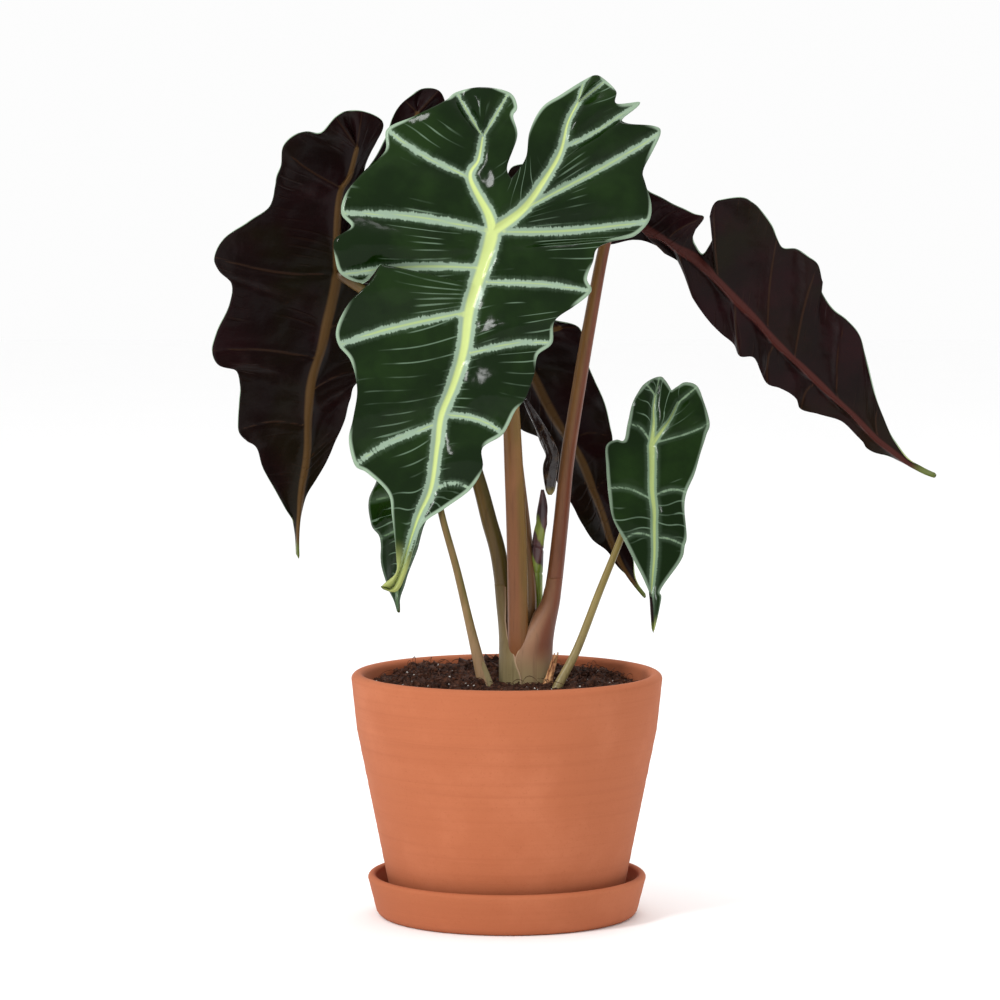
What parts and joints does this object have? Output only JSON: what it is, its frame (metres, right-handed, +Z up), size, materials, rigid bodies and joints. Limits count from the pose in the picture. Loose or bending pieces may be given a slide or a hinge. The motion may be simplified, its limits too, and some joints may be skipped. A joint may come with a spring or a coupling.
{
  "type": "potted alocasia",
  "caption": "Arrow-leaved alocasia with pale veins, growing in a plain terracotta pot that stands on a matching saucer.",
  "frame": {"origin": "centre of the saucer's flat underside, on the surface that it stands on", "axes": "+Z up, -Y towards the front that the largest leaf faces, +X to the right of that front"},
  "size_m": [0.3648, 0.1602, 0.4207],
  "materials": {
    "terracotta": "matte unglazed",
    "soil": "rough",
    "leaf": "semi-gloss",
    "stem": "satin",
    "dry": "matte",
    "perlite": "matte"
  },
  "bodies": {
    "root": {"bark_chip_1": "soil", "bark_chip_2": "soil", "bark_chip_3": "soil", "bark_chip_4": "soil", "bark_chip_5": "soil", "bark_chip_6": "soil", "blade_back": "leaf", "blade_front": "leaf", "blade_left": "leaf", "blade_low_left": "leaf", "blade_low_right": "leaf", "blade_right": "leaf", "corm": "stem", "dry_scale": "dry", "flower_stalk": "stem", "perlite_1": "perlite", "perlite_2": "perlite", "perlite_3": "perlite", "perlite_4": "perlite", "perlite_5": "perlite", "perlite_6": "perlite", "petiole_back": "stem", "petiole_front": "stem", "petiole_left": "stem", "petiole_low_left": "stem", "petiole_low_right": "stem", "petiole_right": "stem", "pot": "terracotta", "potting_mix": "soil", "saucer": "terracotta", "sheath_left": "stem", "sheath_right": "stem", "stem_base": "stem", "withered_spathe": "dry"}
  },
  "joints": []
}
